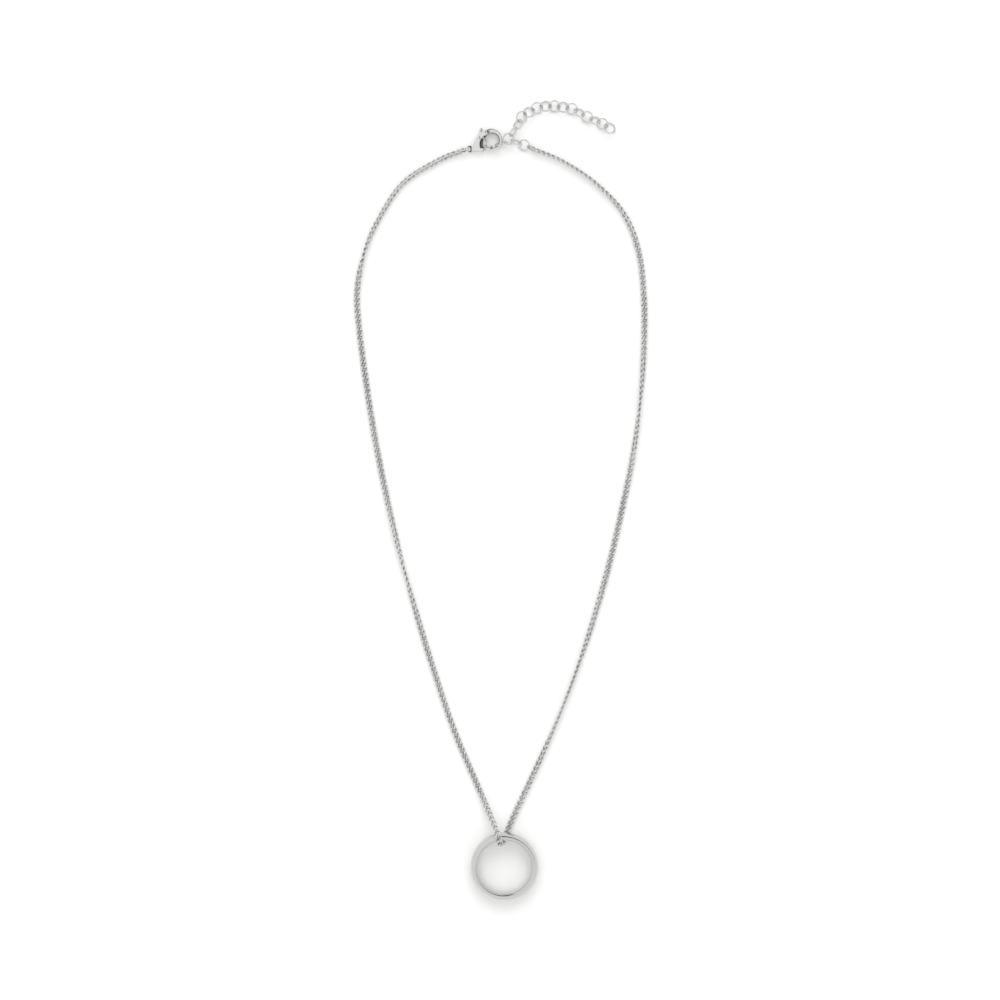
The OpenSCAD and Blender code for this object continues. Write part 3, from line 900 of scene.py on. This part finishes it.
def lever_distance(p):
    """Arm and tab in the slot, a thicker gate across the mouth, and a hole for the rivet."""
    boss = np.hypot(p[..., 0], p[..., 1])
    arm = np.minimum(strip_distance(p, GATE_PATH), strip_distance(p, THUMB_PATH))
    arm = joined(arm, boss - BOSS_RADIUS, BOSS_FILLET)
    thin = slotted_plate(arm, p[..., 2], LEVER_THICKNESS, LEVER_EDGE)
    gate = slotted_plate(strip_distance(p, GATE_BLOCK_PATH), p[..., 2], GATE_THICKNESS, GATE_EDGE)
    return np.maximum(joined(thin, gate, GATE_FILLET), LEVER_HOLE_RADIUS - boss)


lever_points, lever_quads = metal_surface(lever_distance, (-1, -4.1, 0), (4.8, 3.8, 2), 0.07)
sprung_lever = mesh_from("sprung_lever", placed_claw(lever_points), lever_quads)
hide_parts("clasp_lever")
print("lever has", len(lever_quads), "faces")

# %% [markdown]
# ## Painted shade in recesses
#
# Shade is painted into recesses, which are also rougher. A millimetre and a half out along an open
# surface's normal, all metal is that far away. In a slot or a corner, the other side is nearer. The
# wall round the eye is open, but a painted dark reflection marks it too, by the way it faces.

# %% Painted shade in recesses
# How far out along the normal to look, and the shares of that way to the nearest metal at which a
# point counts as open and as shut in.
LOOK_OUT, OPEN_TO_SHUT = 1.5, (0.8, 0.2)
# How far round the eye its wall reaches, how much it has to face the eye to start and to be full,
# and how much painted shade it gets then.
EYE_WALL, FACING, EYE_WALL_SHADE = 0.7, (0.1, 0.5), 0.5


def recess(points, own):
    """Painted shade from 0 on an open surface to 1 in a slot: how near the nearest metal is to the spot
    that lies straight out from a point. On the wall round the eye, how much the normal faces the eye
    counts."""
    normal = unit(slope(own, points))
    out = points + LOOK_OUT * normal
    clear = np.minimum(claw_distance(out), lever_distance(out)) / LOOK_OUT
    from_eye = points[:, :2] - EYE
    facing = grown(-np.sum(unit(from_eye) * normal[:, :2], -1), *FACING)
    near_eye = np.linalg.norm(from_eye, axis=1) < EYE_RADIUS + EYE_WALL
    return np.maximum(grown(clear, *OPEN_TO_SHUT), EYE_WALL_SHADE * facing * near_eye)


for piece, points, own in (
        (cast_claw, claw_points, claw_distance),
        (sprung_lever, lever_points, lever_distance)):
    # The share is painted shade in recesses, and a painted dark reflection on the eye's wall.
    recess_shade = recess(points, own)
    give_share(piece, "recess", recess_shade)
    print(piece.name, "has", round(100 * float((recess_shade > 0.5).mean())), "% of its points in recesses")

# %% [markdown]
# ## The rivet
#
# The lever turns on a plain rivet, a pin whose two ends are hammered into low domes. A turned
# profile gives its shape: every row of the grid is a circle of that radius at that height.

# %% Rivet
RIVET_D, HEAD_D, HEAD_H, HEAD_FALL, RIVET_GAP = 0.8, 1.15, 0.15, 0.75, 0.02
# Radii of the rows on a head, closer together towards its rim.
HEAD_RADII = np.array([0.0, 0.2, 0.35, 0.47, 0.545, HEAD_D / 2])


def rivet(steps=40):
    """A turned profile, from the middle of the lower head up to the middle of the upper one. Each
    head is a low dome: it falls away from the middle as the fourth power of the radius."""
    dome = HEAD_H * (1 - HEAD_FALL * (HEAD_RADII / HEAD_RADII[-1]) ** 4)
    top = CLAW_THICKNESS + RIVET_GAP
    side = [HEAD_D / 2, RIVET_D / 2, RIVET_D / 2, HEAD_D / 2]
    radius = np.concatenate([HEAD_RADII, side, HEAD_RADII[::-1]])[:, None]
    z = np.concatenate([-RIVET_GAP - dome, [-RIVET_GAP, -RIVET_GAP, top, top], top + dome[::-1]])
    a = circle(steps)
    return points_of(radius * np.cos(a), radius * np.sin(a), z[:, None])


rivet_points = rivet()
rivet_rows, rivet_steps = rivet_points.shape[:2]
clasp_rivet = mesh_from("clasp_rivet", placed_claw(rivet_points.reshape(-1, 3)),
                        grid_faces(rivet_rows, rivet_steps, closed=False)[:, ::-1])
# The first and the last row are each one point many times over, so they are merged.
weld = clasp_rivet.modifiers.new("poles", "WELD")
weld.merge_threshold = 1e-7
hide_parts("clasp_pin")
print("rivet has", rivet_rows, "rows of", rivet_steps, "points")

# %% [markdown]
# ## Finishes
#
# All the metal is the same pale silver, but each piece was worked in its own way. The ring is satin:
# fine lines run round it, over a slow hand-worked ripple, with painted shade near its hole and on its
# flanks. The chain and the wire links are polished, with painted shade between the links, and
# tarnish on the chain. The cast claw is bright with a slight ripple, with painted shade in recesses.

# %% Metal finishes
def silver(level, blue):
    """A metal's colour: equal red and green, and a little less blue, which makes it look warm."""
    return (level, level, blue, 1.0)


def metal(finish, colour, roughness, **more):
    """A bare metal: its colour, roughness and normal may vary over the surface."""
    return finish.surface(finish.node("ShaderNodeBsdfPrincipled", {}, {
        "Base Color": colour, "Metallic": 1.0, "Roughness": roughness, **more}))


def fine_lines(finish, scales, detail):
    """Noise drawn out into lines round a closed piece, by scaling the two parts of its UV."""
    uv = finish.node("ShaderNodeUVMap", {"uv_map": "along_and_round"}, {})
    scaled = finish.node("ShaderNodeVectorMath", {"operation": "MULTIPLY"}, {0: uv, 1: (*scales, 0)})
    return finish.noise(1.0, detail, scaled)


def relief(finish, height, strength, distance):
    """A normal that leans as on a relief of the given height times a distance in metres."""
    return finish.node("ShaderNodeBump", {}, {"Strength": strength, "Distance": distance, "Height": height})


def satin_silver(finish):
    """Turning lines round the band, from noise stretched along it, a soft cloud of wear and a slow
    hand-worked ripple. The hole's side and the outer flank are painted greyer, as painted shade,
    and the edge round the hole is painted a little paler again, as painted light."""
    lines = fine_lines(finish, (14, 900), 3.0)
    cloud = finish.noise(350.0, 3.0)
    ripple = finish.noise(800.0, 1.0)
    near_hole = finish.share("near_hole")
    colour = finish.mix(cloud, silver(0.67, 0.655), silver(0.75, 0.735))
    # Painted shade near the hole, painted light at its edge, and painted shade on the flanks.
    colour = finish.mix(near_hole, colour, silver(0.66, 0.645))
    colour = finish.mix(finish.share("hole_edge"), colour, silver(0.69, 0.675))
    colour = finish.mix(finish.share("on_flank"), colour, silver(0.58, 0.566))
    roughness = 0.06 + 0.04 * cloud + 0.03 * lines + 0.04 * near_hole
    height = lines * 0.12 + ripple * 0.5
    return metal(finish, colour, roughness, Normal=relief(finish, height, 0.5, 0.00006))


def chain_silver(finish):
    """Polished on the crests, with tarnish and painted shade on the flanks and inside each link.
    Some links and some stretches of the chain are more tarnished than others."""
    mottle = finish.noise(900.0, 2.0)
    cloud = finish.noise(45.0, 2.0)
    # Tarnish and painted shade, more in some links and stretches than in others.
    tarnish = finish.share("tarnish") * (1.6 * mottle + 1.1 * cloud - 0.62)
    colour = finish.mix(tarnish, silver(0.92, 0.905), silver(0.25, 0.243))
    return metal(finish, colour, 0.1 + 0.24 * tarnish)


def wire_silver(finish):
    """Drawn wire: bright, with faint lines along it, and painted shade where the next link hangs."""
    lines = fine_lines(finish, (6, 40), 2.0)
    unpolished = finish.share("unpolished")
    colour = finish.mix(lines, silver(0.72, 0.705), silver(0.82, 0.805))
    # Painted shade where the next link hangs.
    colour = finish.mix(unpolished, colour, silver(0.36, 0.353))
    roughness = 0.07 + 0.08 * lines + 0.2 * unpolished
    return metal(finish, colour, roughness, Normal=relief(finish, lines, 0.2, 0.00001))


def cast_silver(finish):
    """Cast and tumbled metal: a slow ripple from the mould, a bright polish, and painted shade in recesses.
    """
    ripple = finish.noise(900.0, 2.0)
    cloud = finish.noise(400.0, 2.0)
    recess_shade = finish.share("recess")
    colour = finish.mix(cloud, silver(0.77, 0.755), silver(0.83, 0.815))
    # Painted shade in the recesses.
    colour = finish.mix(recess_shade, colour, silver(0.13, 0.127))
    roughness = 0.09 + 0.08 * cloud + 0.25 * recess_shade
    return metal(finish, colour, roughness, Normal=relief(finish, ripple, 0.25, 0.00004))


LOOKS = {
    satin_silver: [silver_band],
    chain_silver: [chain_links_left, chain_links_right],
    wire_silver: round_links,
    cast_silver: [cast_claw, sprung_lever, clasp_rivet],
}
for look, pieces in LOOKS.items():
    made = look(Finish(bpy.data.materials.new(look.__name__)))
    for piece in pieces:
        piece.data.materials.append(made)
    print(made.name, "covers", len(pieces), "pieces")

# %% [markdown]
# ## What moves with what
#
# Only the clasp's lever moves. Everything else lies still with the necklace, so every other piece
# rides on that body.

# %% Bodies
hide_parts("chain_left")
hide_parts("chain_right")
for piece in [silver_band, chain_links_left, chain_links_right, cast_claw, clasp_rivet, *round_links]:
    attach(piece, "necklace")
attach(sprung_lever, "lever")
